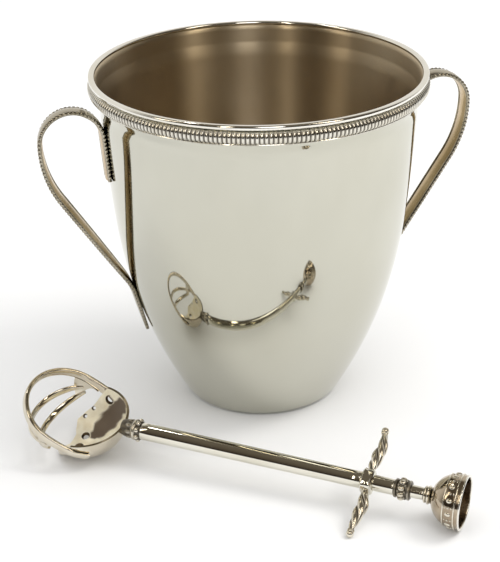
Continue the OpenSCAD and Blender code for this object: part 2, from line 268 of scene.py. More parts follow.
def make_materials():
    # Near-black painted shade for grooves and hollows.
    dark = (0.05, 0.04, 0.028)
    return {
        "wall": metal("wall_silver", (0.585, 0.578, 0.505), (0.56, 0.55, 0.47), 0.04, 0.07, 9, 4e-5, 4e-7),
        "inside": metal("inside_satin", (0.58, 0.485, 0.345), (0.5, 0.41, 0.28), 0.34, 0.42, 14, 3e-5, 1.6e-6,
                        anisotropic=0.9, brushed=True),
        "bead": metal("bead_silver", (0.86, 0.84, 0.78), (0.8, 0.77, 0.69), 0.06, 0.12, 30, 1e-5, 4e-7),
        "band": metal("band_silver", (0.8, 0.78, 0.71), (0.72, 0.68, 0.58), 0.06, 0.12, 40, 0, 4e-7,
                      groove=dark),
        "strap": metal("strap_silver", (0.5, 0.46, 0.38), (0.4, 0.35, 0.27), 0.14, 0.24, 26, 3e-5, 6e-7),
        # The straps' inner faces: a warmer, browner tone than the outer faces.
        "strap_inner": metal("strap_inner_warm", (0.6, 0.47, 0.3), (0.42, 0.31, 0.17), 0.2, 0.34, 30,
                             3e-5, 6e-7),
        "wire": metal("wire_silver", (0.45, 0.41, 0.33), (0.3, 0.27, 0.2), 0.12, 0.24, 60, 0, 4e-7,
                      groove=dark),
        "bowl": metal("bowl_silver", (0.76, 0.71, 0.6), (0.6, 0.53, 0.41), 0.05, 0.1, 30, 5e-5, 5e-7),
        # Painted reflection inside the heel: the bright cream, partly matt base stands for a bright
        # reflection, and the recess patch darkens it for a dark one.
        "painted_heel_reflection": metal("heel_painted_reflection", (0.93, 0.87, 0.7), (0.82, 0.74, 0.55), 0.3, 0.4, 160, 3e-5, 1e-6,
                        groove=(0.13, 0.095, 0.065), metallic=0.3),
        # Near-black painted shade for the drain holes' walls.
        "hole": metal("drain_hole_painted_shade", (0.16, 0.12, 0.08), (0.08, 0.06, 0.04), 0.3, 0.45, 200, 0, 6e-7),
        "cup": metal("cup_silver", (0.6, 0.52, 0.41), (0.36, 0.29, 0.21), 0.08, 0.16, 60, 3e-5, 5e-7),
        # The cup's inside: a darker tone than its outside.
        "cup_inside": metal("cup_inside_darker", (0.34, 0.27, 0.19), (0.2, 0.15, 0.1), 0.2, 0.34, 60, 3e-5, 6e-7),
        "shaft": metal("shaft_silver", (0.79, 0.765, 0.68), (0.73, 0.7, 0.6), 0.05, 0.09, 30, 1e-5, 5e-7),
        "cast": metal("cast_silver", (0.8, 0.76, 0.66), (0.68, 0.62, 0.5), 0.12, 0.24, 70, 2e-5, 8e-7,
                      groove=dark),
        "brass": metal("rod_brass", (0.62, 0.45, 0.2), (0.5, 0.35, 0.14), 0.25, 0.4, 60, 0, 6e-7),
    }


# ---------------------------------------------------------------- mesh tools


def piece(name, points, faces, materials, body, replaces, place=None, recess=None, sharp=40,
          face_slots=None):
    """Makes one visible piece from points in millimetres, with its materials, under its body's empty, and
    hides the CAD nodes it replaces.
    """
    data = bpy.data.meshes.new(name)
    data.from_pydata([Vector(p) * MM for p in points], [], faces)
    if place is not None:
        data.transform(place)
    for m in materials:
        data.materials.append(m)
    if face_slots is not None:
        data.polygons.foreach_set("material_index", face_slots)
    if recess is not None:
        layer = data.attributes.new("recess", "FLOAT", "POINT")
        layer.data.foreach_set("value", recess)
    shaped = bmesh.new()
    shaped.from_mesh(data)
    bmesh.ops.remove_doubles(shaped, verts=shaped.verts, dist=1e-7)
    bmesh.ops.recalc_face_normals(shaped, faces=shaped.faces)
    shaped.to_mesh(data)
    shaped.free()
    data.polygons.foreach_set("use_smooth", [True] * len(data.polygons))
    data.set_sharp_from_angle(angle=math.radians(sharp))
    made = bpy.data.objects.new(name, data)
    bpy.context.scene.collection.objects.link(made)
    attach(made, body)
    if replaces:
        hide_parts(*replaces)
    return made


def grid_faces(rows, columns, closed_rows=False, closed_columns=False):
    """Quads over a grid of points stored row by row."""
    faces = []
    for i in range(rows if closed_rows else rows - 1):
        for j in range(columns if closed_columns else columns - 1):
            a, b = i * columns + j, i * columns + (j + 1) % columns
            c, d = ((i + 1) % rows) * columns + (j + 1) % columns, ((i + 1) % rows) * columns + j
            faces.append((a, b, c, d))
    return faces


def joined(parts):
    """Several (points, faces, recess) parts as one."""
    points, faces, recess = [], [], []
    for more_points, more_faces, more_recess in parts:
        start = len(points)
        points += more_points
        faces += [tuple(i + start for i in f) for f in more_faces]
        recess += more_recess
    return points, faces, recess


def turned(profile, steps, shape=None):
    """Turns a closed outline of (radius, height) points about Z. shape(angle, radius, height) may change
    the radius and gives recess."""
    points, recess = [], []
    for i in range(steps):
        a = TAU * i / steps
        for r, z in profile:
            r, dip = (r, 0.0) if shape is None else shape(a, r, z)
            points.append((r * math.cos(a), r * math.sin(a), z))
            recess.append(dip)
    return points, grid_faces(steps, len(profile), closed_rows=True, closed_columns=True), recess


def arc(centre, radius, start, end, steps):
    """Points of an arc, from one angle to another, in degrees."""
    angles = [math.radians(start + (end - start) * i / steps) for i in range(steps + 1)]
    return [(centre[0] + radius * math.cos(a), centre[1] + radius * math.sin(a)) for a in angles]


def oval(centre, half_w, half_h, steps, squareness=1.0):
    """Closed oval, nearer to a rounded box when squareness is below 1."""
    points = []
    for i in range(steps):
        c, s = math.cos(TAU * i / steps), math.sin(TAU * i / steps)
        points.append((centre[0] + half_w * math.copysign(abs(c) ** squareness, c),
                       centre[1] + half_h * math.copysign(abs(s) ** squareness, s)))
    return points


def swept(frames, section, ends=True):
    """Sweeps a closed section along frames of (centre, side, up). section(i) gives its points as
    (side, up, recess)."""
    points, recess = [], []
    for i, (centre, side, up) in enumerate(frames):
        for u, v, dip in section(i):
            points.append(tuple(centre + side * u + up * v))
            recess.append(dip)
    columns = len(points) // len(frames)
    faces = grid_faces(len(frames), columns, closed_columns=True)
    if ends:
        faces.append(tuple(range(columns)))
        last = (len(frames) - 1) * columns
        faces.append(tuple(range(last + columns - 1, last - 1, -1)))
    return points, faces, recess


# ---------------------------------------------------------------- bucket

BUCKET_H = top_of("rim_bead")
BAND_R = radius_of("rim_milled_band")
WALL_T = 1.3
CORNER_R = 6
NECK_R, NECK_Z = 97.5, BUCKET_H - 19
UPPER_ARC, LOWER_ARC = 1280, 300
NECK_LEAN, WAIST_LEAN = math.radians(3.3), math.radians(6.6)
UPPER_C = Vector((NECK_R - UPPER_ARC * math.cos(NECK_LEAN), NECK_Z + UPPER_ARC * math.sin(NECK_LEAN)))
WAIST = UPPER_C + UPPER_ARC * Vector((math.cos(WAIST_LEAN), -math.sin(WAIST_LEAN)))
LOWER_C = WAIST - LOWER_ARC * Vector((math.cos(WAIST_LEAN), -math.sin(WAIST_LEAN)))
BASE_LEAN = math.asin((LOWER_C.y - CORNER_R) / (LOWER_ARC - CORNER_R))
CORNER_C = (LOWER_C.x + (LOWER_ARC - CORNER_R) * math.cos(BASE_LEAN), CORNER_R)


def wall_radius(z):
    """Outer radius of the bucket's wall at a height."""
    if z > WAIST.y:
        return UPPER_C.x + math.sqrt(UPPER_ARC ** 2 - (z - UPPER_C.y) ** 2)
    return LOWER_C.x + math.sqrt(LOWER_ARC ** 2 - (z - LOWER_C.y) ** 2)


def wall_lean(z):
    """Lean of the wall from upright at a height, in radians."""
    if z > WAIST.y:
        return math.asin((UPPER_C.y - z) / UPPER_ARC)
    return math.asin((LOWER_C.y - z) / LOWER_ARC)


def wall_side(inset):
    """The wall's outline from base to neck, set in by the wall's thickness or by nothing."""
    degrees = math.degrees
    return (arc(CORNER_C, CORNER_R - inset, -90, -degrees(BASE_LEAN), 10)
            + arc(LOWER_C, LOWER_ARC - inset, -degrees(BASE_LEAN), -degrees(WAIST_LEAN), 44)[1:]
            + arc(UPPER_C, UPPER_ARC - inset, -degrees(WAIST_LEAN), -degrees(NECK_LEAN), 18)[1:])


def make_shell(mats):
    """The spun shell: polished outside, satin inside, with a shallow recess under the base."""
    foot_r, recess_h = CORNER_C[0] - 3, 0.7
    outside = [(0.01, recess_h), (foot_r - 2, recess_h), (foot_r, 0.0)] + wall_side(0)
    lip_r, lip_foot = NECK_R + 2.1, NECK_Z + 6.7
    outside += [(lip_r - 1.4, lip_foot - 4.4), (lip_r - 0.7, lip_foot - 2.4), (lip_r - 0.2, lip_foot - 0.9),
                (lip_r, lip_foot), (lip_r, BUCKET_H - 4.3), (lip_r + 1.6, BUCKET_H - 2.8)]
    inside = [(lip_r + 1.0, BUCKET_H - 1.8), (lip_r, BUCKET_H - 2.1), (lip_r - 0.9, BUCKET_H - 3.4),
              (lip_r - WALL_T, BUCKET_H - 5.2), (lip_r - WALL_T, lip_foot),
              (lip_r - WALL_T - 0.4, lip_foot - 1.9)]
    inside += wall_side(WALL_T)[::-1]
    inside += [(0.01, WALL_T + recess_h)]
    profile = outside + inside
    points, faces, _ = turned(profile, 288)
    inner_faces = [0 if (i % len(profile)) < len(outside) else 1 for i in range(len(faces))]
    piece("bucket_shell", points, faces, [mats["wall"], mats["inside"]], "bucket",
          ["bucket_wall"], face_slots=inner_faces)


def make_rim(mats):
    """The plain bead, the half-round milled band and the thin wire below it."""
    points, faces, _ = turned(oval((101.35, BUCKET_H - 1.5), 1.95, 1.5, 24, 0.75), 360)
    piece("rim_bead_ring", points, faces, [mats["bead"]], "bucket", ["rim_bead"])

    low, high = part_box("rim_milled_band")[0].z / MM, top_of("rim_milled_band")
    middle, half_h = (low + high) / 2, (high - low) / 2 + 0.5
    seat = 100.7
    bulge = BAND_R - seat
    ribs, columns = 250, 8
    land = [0.0, 0.1, 0.6, 1.0, 1.0, 0.6, 0.1, 0.0]

    def ribbed(a, r, z):
        column = round(a / TAU * ribs * columns) % columns
        reach = max(0.0, 1 - abs((z - middle) / half_h) ** 8)
        dip = land[column] * reach * (r > seat + 0.05)
        # The dip also goes out as recess: painted shade in the grooves between the ribs.
        return r - 0.6 * dip, dip * 0.9

    face = [(seat + bulge * math.cos(t), middle + half_h * math.sin(t))
            for t in (math.radians(-88 + 176 * i / 18) for i in range(19))]
    profile = face + [(99.0, high), (99.0, low)]
    points, faces, recess = turned(profile, ribs * columns, shape=ribbed)
    piece("rim_milled_ring", points, faces, [mats["band"]], "bucket", ["rim_milled_band"],
          recess=recess, sharp=50)

    points, faces, _ = turned(oval((100.4, low - 0.6), 1.7, 0.8, 12), 288)
    piece("rim_fillet_wire", points, faces, [mats["bead"]], "bucket", ["rim_lower_wire"])


# The handle's centreline, walked from the tab's lower end as runs of (length, turn)
HANDLE_W = (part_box("right_handle_back_wire")[1].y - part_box("right_handle_front_wire")[0].y) / MM
EDGE_WIRE = 2.4
TAB_Z, LOOP_Z, FOOT_Z = 154, 180, 76
LEG_LEAN, LEG_BEND_R, FOOT_BEND_R, TAIL_L = math.radians(33), 68, 40, 29
SOLDER = 0.1


def handle_runs():
    """Start (x, z, heading) and runs of the handle's centreline, as the CAD model has them."""
    half = EDGE_WIRE / 2 + SOLDER
    tab_lean = wall_lean((TAB_Z + LOOP_Z) / 2)
    start = (wall_radius(TAB_Z) + half / math.cos(tab_lean), TAB_Z, math.pi / 2 - tab_lean)
    tab_l = LOOP_Z - TAB_Z + 2
    foot_lean = wall_lean(FOOT_Z)
    foot_x = wall_radius(FOOT_Z) + half / math.cos(foot_lean)
    leg_end = (foot_x + FOOT_BEND_R * (math.cos(foot_lean) - math.cos(LEG_LEAN)),
               FOOT_Z + FOOT_BEND_R * (math.sin(LEG_LEAN) - math.sin(foot_lean)))
    leg_l = (LOOP_Z - LEG_BEND_R * math.sin(LEG_LEAN) - leg_end[1]) / math.cos(LEG_LEAN)
    loop_x = leg_end[0] + leg_l * math.sin(LEG_LEAN) + LEG_BEND_R * (1 - math.cos(LEG_LEAN))
    loop_r = (loop_x - start[0] - tab_l * math.sin(tab_lean)) / (1 + math.cos(tab_lean))
    loop_turn = math.pi - tab_lean
    runs = [(tab_l, 0.0), (loop_r * loop_turn, -loop_turn), (LEG_BEND_R * LEG_LEAN, -LEG_LEAN), (leg_l, 0.0),
            (FOOT_BEND_R * (LEG_LEAN - foot_lean), LEG_LEAN - foot_lean), (TAIL_L, 0.0)]
    return start, runs


def along_runs(start, runs, s):
    """Point and heading a length s along the runs."""
    x, z, h = start
    for index, (length, turn) in enumerate(runs):
        step = min(s, length) if index < len(runs) - 1 else s
        if abs(turn) < 1e-6:
            x, z = x + step * math.cos(h), z + step * math.sin(h)
        else:
            bend = turn / length
            x += (math.sin(h + bend * step) - math.sin(h)) / bend
            z -= (math.cos(h + bend * step) - math.cos(h)) / bend
            h += bend * step
        s -= step
        if s <= 1e-9:
            break
    return x, z, h


def make_handle(mats, side, name, twist):
    """One handle: a crowned strap between two milled wires that close to a point at the tail.
    The long leg is twisted a little about its own line, by twist in degrees."""
    start, runs = handle_runs()
    total = sum(length for length, _ in runs)
    mirror = Matrix.Scale(side, 4, (1, 0, 0))

    loop_end = runs[0][0] + runs[1][0]
    foot_start = total - runs[-1][0]

    def frame_at(s, width):
        x, z, h = along_runs(start, runs, s)
        t = max(0.0, min(1.0, (s - loop_end * 0.55) / (foot_start - loop_end * 0.55)))
        turn = math.radians(twist) * math.sin(math.pi * min(1.0, t * 1.02)) ** 0.6
        up = Vector((-math.sin(h), 0, math.cos(h)))
        across = Vector((0, math.cos(turn), 0)) - up * math.sin(turn)
        return Vector((x, 0, z)), across * width, up * math.cos(turn) + Vector((0, math.sin(turn), 0))

    def width_at(s):
        """Share of the full width: the tail draws in to a point."""
        left = (total - s) / (TAIL_L * 1.15)
        return 1.0 if left >= 1 else 0.12 + 0.88 * math.sin(max(left, 0) * math.pi / 2)

    half_w = HANDLE_W / 2 - EDGE_WIRE * 0.75
    steps = 150
    stops = [total * i / steps for i in range(steps + 1)]
    frames = [frame_at(s, width_at(s)) for s in stops]
    strap_t, crown = 1.3, 1.0
    half = [1 - k / 5 for k in range(11)]
    outline = [(half_w * k, 0.5 * strap_t + crown * (1 - k * k)) for k in half]
    outline += [(-u, -v) for u, v in outline]

    def strap_section(i):
        return [(u, v * (0.6 + 0.4 * width_at(stops[i])), 0.0) for u, v in outline]

    points, faces, _ = swept(frames, strap_section)
    inner = [1 if i % len(outline) >= len(half) - 1 else 0 for i in range(len(faces))]
    piece(f"{name}_strap_crowned", points, faces, [mats["strap"], mats["strap_inner"]], "bucket",
          [f"{name}_strap"], place=mirror, sharp=50, face_slots=inner)

    pitch, per_rib, around, cut_depth = 2.5, 8, 16, 0.42
    cut = [0.0, 0.0, 0.15, 0.8, 1.0, 0.8, 0.15, 0.0]
    ribs = int(total / pitch)
    for edge, across in (("front", -1), ("back", 1)):
        rows = ribs * per_rib
        cuts = [total * i / rows for i in range(rows + 1)]
        frames = []
        for s in cuts:
            centre, over, up = frame_at(s, 1)
            frames.append((centre + over * across * (HANDLE_W / 2 - EDGE_WIRE / 2) * width_at(s), over, up))

        def wire_section(i):
            r = EDGE_WIRE / 2 * (0.72 + 0.4 * width_at(cuts[i]) / 1.4)
            ring = []
            for k in range(around):
                a = TAU * k / around
                outward = max(0.0, min(1.0, 0.65 + 0.9 * math.sin(a)))
                dip = cut[i % per_rib] * outward
                reach = r - cut_depth * dip
                # The cut's depth goes out as recess: painted shade in the milling's cuts.
                ring.append((reach * math.cos(a), reach * 1.04 * math.sin(a), dip * 0.8))
            return ring

        points, faces, recess = swept(frames, wire_section)
        piece(f"{name}_{edge}_milled_wire", points, faces, [mats["wire"]], "bucket",
              [f"{name}_{edge}_wire"], place=mirror, recess=recess, sharp=60)


# ---------------------------------------------------------------- scoop, in its own frame: X along the shaft

BOWL_R, BOWL_T, BOWL_UP, BOWL_REACH, HEEL_REACH, RIM_DROP = 27.5, 1.5, 4.6, 189.4, 9.4, 2.1
CUP_R, CUP_MOUTH, CUP_BALL_X = 16.2, 57, 52.8
ROLL, YAW = math.radians(14), math.radians(-37.3)
TILT = math.asin(-(BOWL_R - BOWL_UP * math.cos(ROLL) - CUP_R) / (BOWL_REACH - HEEL_REACH + CUP_MOUTH))
HUB_H = CUP_R * math.cos(TILT) - CUP_MOUTH * math.sin(TILT) + 0.1
KNOB_R, GUARD_REACH = 2.3, 35
GUARD_TURN = math.asin((HUB_H - KNOB_R - 0.1) / GUARD_REACH) - ROLL
LAID = (Matrix.Translation(Vector((14.5, -166, HUB_H)) * MM) @ Matrix.Rotation(YAW, 4, "Z")
        @ Matrix.Rotation(-TILT, 4, "Y") @ Matrix.Rotation(ROLL, 4, "X"))
AT_BOWL = LAID @ Matrix.Translation(Vector((-BOWL_REACH, 0, BOWL_UP)) * MM)
ALONG_X = Matrix.Rotation(math.pi / 2, 4, "Y")
COLLAR_FROM, SHAFT_FROM = -155, -141.5
HUB_HALF, HUB_R = 3.6, 6.3
KNOP_FROM, KNOP_L = 16, 9.6
CUP_COLLAR_FROM, CUP_COLLAR_L = 33.2, 4.2


def on_shaft(profile, steps=72, shape=None):
    """Turned part of the handle; the profile is (radius, distance along the shaft)."""
    points, faces, recess = turned(profile, steps, shape)
    return [tuple(ALONG_X @ Vector(p)) for p in points], faces, recess


def bead(centre, radii, turn=None, rings=10, around=16):
    """An oval bead, leaf or petal."""
    points, recess = [], []
    for i in range(rings + 1):
        lat = math.pi * (i / rings - 0.5)
        for k in range(around):
            lon = TAU * k / around
            p = Vector((radii[0] * math.cos(lat) * math.cos(lon), radii[1] * math.cos(lat) * math.sin(lon),
                        radii[2] * math.sin(lat)))
            recess.append(0.0)
            points.append(tuple(Vector(centre) + (p if turn is None else turn @ p)))
    return points, grid_faces(rings + 1, around, closed_columns=True), recess


def ring_of_beads(count, x, from_axis, radii, phase=0.0, lean=0.0):
    """Beads set round the shaft's axis; their first radius lies along it and their last points outwards."""
    parts = []
    for i in range(count):
        a = TAU * (i + phase) / count
        turn = Matrix.Rotation(a, 3, "X")
        centre = turn @ Vector((x, 0, from_axis))
        parts.append(bead(centre, radii, turn @ Matrix.Rotation(lean, 3, "Y")))
    return parts


def heel_edge(a):
    """Place along X of the heel's free edge, by the angle a in degrees from one rim down under the bowl."""
    shape = [(0, 13), (16, 8), (33, 3.6), (45, -1.2), (57, -5), (73, -3.5), (80, -2), (90, -2)]
    a = min(a, 180 - a)
    for (a0, x0), (a1, x1) in zip(shape, shape[1:]):
        if a <= a1:
            t = (a - a0) / (a1 - a0)
            return x0 + (x1 - x0) * t
    return shape[-1][1]


def tarnish_and_painted_reflection(a, x):
    """The painted dark reflection patch in the heel, an oval, 0 to 1, by the angle a in degrees and the place
    along X.
    """
    across = 1 - ((a - 42) / 40) ** 2
    if across <= 0:
        return 0.0
    ragged = 0.7 * math.sin(0.35 * a) + 0.5 * math.sin(0.9 * x)
    return max(0.0, min(1.0, (8.3 * math.sqrt(across) + ragged - abs(x - 27.5 + 0.22 * a)) / 1.3))


def make_heel(mats):
    """The bowl's solid heel: a shell with a cusped free edge, a painted reflection inside (a bright cream
    base with a darker oval patch), and drain holes.
    """
    rows, columns = 72, 40
    tip = math.asin(RIM_DROP / BOWL_R) * BOWL_R
    points, recess = [], []
    for depth in (0.0, BOWL_T):
        r = BOWL_R - depth
        for i in range(rows + 1):
            a = 180 * i / rows
            edge = heel_edge(a)
            # Arc length round the heel's outline from its free edge to the pole
            before = -math.asin(edge / BOWL_R) * BOWL_R if edge < 0 else 0.0
            straight = HEEL_REACH - max(edge, 0.0)
            past = math.asin((edge - HEEL_REACH) / BOWL_R) * BOWL_R if edge > HEEL_REACH else 0.0
            length = before + max(straight, 0.0) + BOWL_R * math.pi / 2 - past
            for j in range(columns + 1):
                s = (length - tip) * j / columns
                left = length - s
                if left <= BOWL_R * math.pi / 2:
                    lat = math.pi / 2 - left / BOWL_R
                    x, rho = HEEL_REACH + r * math.sin(lat), r * math.cos(lat)
                elif left <= BOWL_R * math.pi / 2 + HEEL_REACH:
                    x, rho = HEEL_REACH - (left - BOWL_R * math.pi / 2), r
                else:
                    lat = (left - BOWL_R * math.pi / 2 - HEEL_REACH) / BOWL_R
                    x, rho = -r * math.sin(lat), r * math.cos(lat)
                rim = math.degrees(math.asin(min(1.0, RIM_DROP / rho)))
                turn = math.radians(rim + (180 - 2 * rim) * i / rows)
                points.append((x, rho * math.cos(turn), -rho * math.sin(turn)))
                # Inner layer only: the painted dark reflection patch, stored as recess.
                recess.append(tarnish_and_painted_reflection(a, x) if depth else 0.0)
    layer = (rows + 1) * (columns + 1)
    wide = columns + 1
    faces = grid_faces(rows + 1, wide)
    faces += [tuple(i + layer for i in f[::-1]) for f in faces]
    for i in range(rows):
        a, b = i * wide, (i + 1) * wide
        faces.append((a, b, b + layer, a + layer))
    for j in range(columns):
        for row in (0, rows):
            a, b = row * wide + j, row * wide + j + 1
            faces.append((a, b, b + layer, a + layer))
    inner_layer_faces = [1 if all(k >= layer for k in f) else 0 for f in faces]
    heel = piece("bowl_heel_shell", points, faces, [mats["bowl"], mats["painted_heel_reflection"]], "scoop",
                 ["bowl_heel"], place=AT_BOWL, recess=recess, sharp=35, face_slots=inner_layer_faces)
    big, small = 2.2, 1.2
    for angle, x, r in ((10, 4.5, big), (68, 14, big), (38, -0.5, small), (51, 4, small)):
        for side in (-1, 1):
            drill(heel, mats["hole"], AT_BOWL @ Matrix.Rotation(math.radians(side * angle), 4, "X"), x, r)


def drill(target, dark, place, x, r):
    """Cuts one drain hole through the heel, countersunk from the inside. The cut faces take the near-black
    material: painted shade on the hole's walls.
    """
    shape = bmesh.new()
    bmesh.ops.create_cone(shape, cap_ends=True, segments=24, radius1=0.45 * r * MM, radius2=1.65 * r * MM,
                          depth=4 * MM, matrix=place @ Matrix.Translation(Vector((x, 0, 1 - BOWL_R)) * MM))
    data = bpy.data.meshes.new("drill")
    shape.to_mesh(data)
    shape.free()
    data.materials.append(dark)
    tool = bpy.data.objects.new("drill", data)
    bpy.context.scene.collection.objects.link(tool)
    cut = target.modifiers.new("hole", "BOOLEAN")
    cut.operation = "DIFFERENCE"
    cut.solver = "EXACT"
    cut.material_mode = "TRANSFER"
    cut.object = tool
    bpy.context.view_layer.update()
    result = bpy.data.meshes.new_from_object(target.evaluated_get(bpy.context.evaluated_depsgraph_get()))
    target.modifiers.remove(cut)
    result.name = target.data.name + "_drilled"
    target.data = result
    target.data.set_sharp_from_angle(angle=math.radians(35))
    bpy.data.objects.remove(tool)


def round_band(pitch, height, width, thick, start, end, steps, squareness, taper):
    """A strip in the bowl's skin, on the plane tipped by pitch through a height, between two angles.
    Its ends narrow by the share taper."""
    normal = Vector((math.sin(pitch), 0, math.cos(pitch)))
    across = Vector((math.cos(pitch), 0, -math.sin(pitch)))
    offset = normal.z * height
    middle_r = BOWL_R - thick / 2
    ring_r = math.sqrt(middle_r ** 2 - offset ** 2)
    frames = []
    for i in range(steps + 1):
        a = start + (end - start) * i / steps
        centre = normal * offset + ring_r * (across * math.cos(a) + Vector((0, math.sin(a), 0)))
        out = centre.normalized()
        along = (-across * math.sin(a) + Vector((0, math.cos(a), 0))).normalized()
        frames.append((centre, out, along.cross(out)))
    outline = oval((0, 0), thick / 2, width / 2, 20, squareness)

    def section(i):
        t = i / steps
        fit = 1 - taper * (abs(2 * t - 1) ** 6)
        return [(u * (1 + 0.35 * (1 - (2 * v / width) ** 2) * (u > 0)), v * fit, 0.0) for u, v in outline]

    return swept(frames, section)


def make_hoop(mats):
    """The raised hoop that frames the bowl's open end; its two ends lap over the outside of the heel.
    It is wider and thicker than its CAD node."""
    pitch, width, half_t, steps = math.radians(29), 6.2, 1.6, 140
    skin = BOWL_R + 0.2
    across = Vector((math.cos(pitch), 0, -math.sin(pitch)))
    ball = Vector((HEEL_REACH, 0, 0))
    start = math.radians(43)
    frames, inner = [], []
    for i in range(steps + 1):
        a = start + (TAU - 2 * start) * i / steps
        way = across * math.cos(a) + Vector((0, math.sin(a), 0))
        if way.x <= 0:
            centre = way * skin
            out = way
        else:
            centre = way * (skin / math.hypot(way.y, way.z))
            out = Vector((0, way.y, way.z)).normalized()
            if centre.x > HEEL_REACH:
                near = way.dot(ball)
                centre = way * (near + math.sqrt(near ** 2 - HEEL_REACH ** 2 + skin ** 2))
                out = (centre - ball).normalized()
        along = -across * math.sin(a) + Vector((0, math.cos(a), 0))
        along = (along - out * along.dot(out)).normalized()
        frames.append((centre, out, along.cross(out)))
        inner.append(-0.1 if centre.x > heel_edge(0) - 0.5 else -half_t)
    outline = oval((0, 0), half_t, width / 2, 24, 0.75)

    def section(i):
        return [(inner[i] + (u + half_t) * (half_t - inner[i]) / (2 * half_t), v, 0.0) for u, v in outline]

    points, faces, _ = swept(frames, section)
    piece("bowl_hoop_band", points, faces, [mats["bowl"]], "scoop", ["bowl_hoop"],
          place=AT_BOWL, sharp=45)


def make_ribs(mats):
    """The two curved ribs of the openwork, wider than their CAD nodes, and the plates they fork from."""
    width, thick = 4.0, 1.9
    for name, pitch, height, start in (("upper_rib", -8.5, -4.6, 100), ("lower_rib", -30, -6.9, 106)):
        start = math.radians(start)
        points, faces, _ = round_band(math.radians(pitch), height, width, thick, start, TAU - start, 80,
                                           squareness=0.8, taper=0.45)
        piece(f"{name}_strip", points, faces, [mats["bowl"]], "scoop", [name],
              place=AT_BOWL, sharp=45)
    for name, side in (("far_rib_root", 1), ("near_rib_root", -1)):
        points = []
        rows, columns = 14, 12
        for r in (BOWL_R - 0.2, BOWL_R - 1.5):
            for i in range(rows + 1):
                v = i / rows
                for j in range(columns + 1):
                    u = j / columns
                    right = 6.5 - 12.5 * v ** 0.7
                    left = -8.2 - 1.2 * math.sin(math.pi * v)
                    x = left + (right - left) * u
                    z_top, z_low = -x * math.tan(math.radians(29)) - 2.2, -10.6 + 0.1 * x
                    z = z_top + (z_low - z_top) * v
                    points.append((x, side * math.sqrt(max(r * r - x * x - z * z, 0)), z))
        layer, wide = (rows + 1) * (columns + 1), columns + 1
        faces = grid_faces(rows + 1, wide)
        faces += [tuple(i + layer for i in f[::-1]) for f in faces]
        rim = (list(range(wide)) + [i * wide + columns for i in range(1, rows + 1)]
               + [rows * wide + j for j in range(columns - 1, -1, -1)]
               + [i * wide for i in range(rows - 1, 0, -1)])
        for a, b in zip(rim, rim[1:] + rim[:1]):
            faces.append((a, b, b + layer, a + layer))
        piece(f"{name}_plate", points, faces, [mats["bowl"]], "scoop", [name],
              place=AT_BOWL, sharp=45)


def make_collar(mats):
    """The head collar: a cup of leaves, a turned ring and a ring of petals."""
    ring = COLLAR_FROM + 9.3
    body = [(2.2, COLLAR_FROM + 1), (4.4, COLLAR_FROM + 0.6), (5.2, COLLAR_FROM + 3), (5.0, ring - 2.4),
            (5.7, ring - 1.5)]
    body += [(5.9 + 0.45 * math.sin(t), ring - 0.9 + 0.9 * (1 - math.cos(t)))
             for t in (math.pi * i / 6 for i in range(1, 6))]
    body += [(5.35, ring + 1.2), (5.3, SHAFT_FROM), (2.2, SHAFT_FROM)]
    parts = [on_shaft(body)]
    parts += ring_of_beads(8, ring + 2.3, 5.5, (1.5, 1.55, 1.6), lean=0.35)
    parts += ring_of_beads(8, ring - 3.4, 4.75, (2.6, 1.6, 1.25), phase=0.5, lean=-0.1)
    points, faces, recess = joined(parts)
    piece("head_collar_petals", points, faces, [mats["cast"]], "scoop", ["head_collar"],
          place=LAID, recess=hollow_between(points, 5.4, 6.6), sharp=50)


def hollow_between(points, low, high):
    """Recess by distance from the shaft's axis: 1 at the low radius, 0 at the high one. It paints shade into
    the hollows between beads, leaves and rings.
    """
    return [max(0.0, min(1.0, (high - math.hypot(p[1], p[2])) / (high - low))) * 0.85 for p in points]


def make_tubes(mats):
    """The plain polished tubes of the handle, each with softly rounded ends."""
    tubes = [("shaft_tube", SHAFT_FROM, -HUB_HALF, 5.25, 4.95), ("grip_tube", HUB_HALF, KNOP_FROM, 4.7, 4.6),
             ("neck_tube", KNOP_FROM + KNOP_L, CUP_COLLAR_FROM, 3.75, 3.65)]
    for node, low, high, r0, r1 in tubes:
        soft = 0.35
        steps = 24
        outer = [(r0 - soft, low), (r0 - 0.1, low + 0.1), (r0, low + soft)]
        outer += [(r0 + (r1 - r0) * i / steps, low + soft + (high - low - 2 * soft) * i / steps)
                  for i in range(1, steps)]
        outer += [(r1, high - soft), (r1 - 0.1, high - 0.1), (r1 - soft, high)]
        inner = [(r1 - 1.2, high), (r0 - 1.2, low)]
        points, faces, _ = on_shaft(outer + inner, 64)
        piece(f"{node}_polished", points, faces, [mats["shaft"]], "scoop", [node],
              place=LAID, sharp=50)


